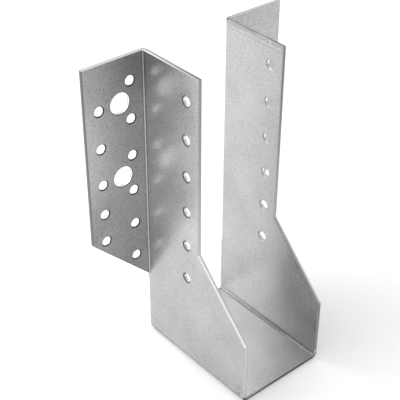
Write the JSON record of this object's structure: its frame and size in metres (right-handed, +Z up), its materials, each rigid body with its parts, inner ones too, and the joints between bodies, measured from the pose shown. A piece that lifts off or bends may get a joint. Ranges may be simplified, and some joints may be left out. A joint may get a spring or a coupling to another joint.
{
  "type": "joist hanger",
  "caption": "Folded steel hanger that carries the end of a timber joist on a header beam: a seat, two walls with slanted fronts and two punched flanges.",
  "frame": {"origin": "under the middle of the seat, level with its underside", "axes": "+X across the joist, +Y towards the header beam, +Z up"},
  "size_m": [0.121, 0.0764, 0.168],
  "materials": {
    "galvanised_sheet": "galvanised, satin"
  },
  "bodies": {
    "root": {"hanger": "galvanised_sheet"}
  },
  "joints": []
}
